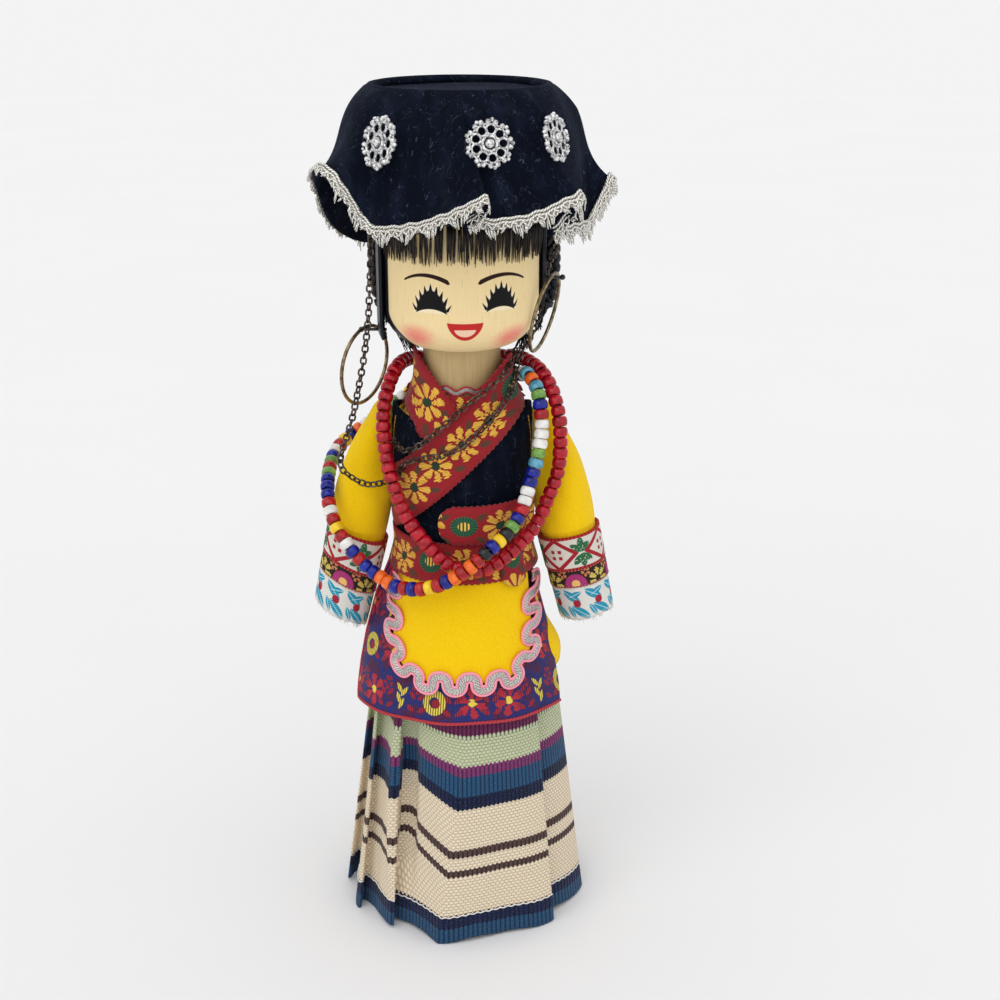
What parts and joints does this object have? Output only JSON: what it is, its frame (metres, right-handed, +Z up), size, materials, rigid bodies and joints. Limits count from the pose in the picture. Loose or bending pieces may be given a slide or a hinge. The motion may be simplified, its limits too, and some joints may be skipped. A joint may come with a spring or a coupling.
{
  "type": "folk art doll",
  "caption": "Turned wooden folk art doll in felt, velvet and embroidered ribbon, with a pleated velvet hat, woven striped skirt, hoop earrings, chains and strings of glass beads",
  "frame": {"origin": "middle of the flat wooden foot that the doll stands on, at mount base", "axes": "+Z up along the doll's height, the face looks along -Y, +X is to the right as seen from the front"},
  "size_m": [0.068, 0.057, 0.1863],
  "materials": {
    "pale_wood": "sanded and waxed, painted face",
    "pin_wood": "plain",
    "striped_wool": "hand-woven wool, striped",
    "yellow_felt": "felted wool",
    "black_velvet": "short pile",
    "red_ribbon": "embroidered ribbon with flowers",
    "red_cord": "twisted cord with silver thread",
    "blue_brocade": "woven flowers",
    "pink_gimp": "wavy gimp with silver core",
    "red_glass": "opaque, glossy",
    "blue_glass": "opaque, glossy",
    "scarlet_glass": "opaque, glossy",
    "white_glass": "opaque, glossy",
    "orange_glass": "opaque, glossy",
    "yellow_glass": "opaque, glossy",
    "green_glass": "opaque, glossy",
    "turquoise_glass": "opaque, glossy",
    "black_glass": "opaque, glossy",
    "bead_thread": "twisted thread",
    "dark_bronze": "dark tarnish",
    "aged_brass": "aged",
    "black_hair": "combed synthetic fibre",
    "tie_thread": "wound thread",
    "hat_card": "dark lining card",
    "silver_lace": "metallic thread",
    "silver_filigree": "bright, pressed",
    "black_pin": "plain",
    "white_ribbon": "embroidered with green sprays and red diamonds",
    "black_ribbon": "embroidered with small flowers",
    "turquoise_ribbon": "embroidered with leaves on white"
  },
  "bodies": {
    "torso": {"body_peg": "pale_wood", "skirt": "striped_wool", "tunic": "yellow_felt", "bodice": "black_velvet", "under_lapel": "red_ribbon", "over_lapel": "red_ribbon", "collar_back": "red_ribbon", "collar_trim": "red_cord", "belt": "red_ribbon", "belt_front": "red_ribbon", "belt_tab": "red_ribbon", "apron_border": "blue_brocade", "apron_panel": "yellow_felt", "apron_wave_trim": "pink_gimp", "red_beads": "red_glass", "red_bead_thread": "bead_thread", "mixed_blue_beads": "blue_glass", "mixed_red_beads": "scarlet_glass", "mixed_white_beads": "white_glass", "mixed_orange_beads": "orange_glass", "mixed_yellow_beads": "yellow_glass", "mixed_green_beads": "green_glass", "mixed_turquoise_beads": "turquoise_glass", "mixed_black_beads": "black_glass", "mixed_bead_thread": "bead_thread", "lower_chest_chain": "dark_bronze", "upper_chest_chain": "dark_bronze", "left_shoulder_pin": "pin_wood", "right_shoulder_pin": "pin_wood"},
    "head": {"head_block": "pale_wood", "hair_shell": "black_hair", "hair_fringe": "black_hair", "left_braid": "black_hair", "right_braid": "black_hair", "braid_ties": "tie_thread", "hat_crown": "black_velvet", "hat_top": "black_velvet", "hat_band": "hat_card", "hat_lace": "silver_lace", "hat_rosettes": "silver_filigree", "left_ear_pin": "black_pin", "right_ear_pin": "black_pin", "left_drop_chain": "dark_bronze", "right_drop_chain": "dark_bronze"},
    "left_earring": {"left_earring": "aged_brass"},
    "right_earring": {"right_earring": "aged_brass"},
    "left_arm": {"left_sleeve": "yellow_felt", "left_upper_cuff": "white_ribbon", "left_middle_cuff": "black_ribbon", "left_lower_cuff": "turquoise_ribbon"},
    "right_arm": {"right_sleeve": "yellow_felt", "right_upper_cuff": "white_ribbon", "right_middle_cuff": "black_ribbon", "right_lower_cuff": "turquoise_ribbon"}
  },
  "joints": [
    {"name": "head_turn", "type": "hinge", "parent": "torso", "child": "head", "pos_m": [0, 0, 0.1325], "axis": [0, 0, 1], "range_deg": [-12, 12], "deforming": ["left_drop_chain", "right_drop_chain"]},
    {"name": "left_arm_swing", "type": "hinge", "parent": "torso", "child": "left_arm", "pos_m": [-0.0186, 0, 0.1165], "axis": [1, 0, 0], "range_deg": [-5, 25]},
    {"name": "right_arm_swing", "type": "hinge", "parent": "torso", "child": "right_arm", "pos_m": [0.0186, 0, 0.1165], "axis": [1, 0, 0], "range_deg": [-5, 25]},
    {"name": "left_earring_swing", "type": "hinge", "parent": "head", "child": "left_earring", "pos_m": [-0.0195, 0, 0.1349], "axis": [1, 0, 0], "range_deg": [-15, 20]},
    {"name": "right_earring_swing", "type": "hinge", "parent": "head", "child": "right_earring", "pos_m": [0.0195, 0, 0.1461], "axis": [1, 0, 0], "range_deg": [-20, 4]}
  ]
}
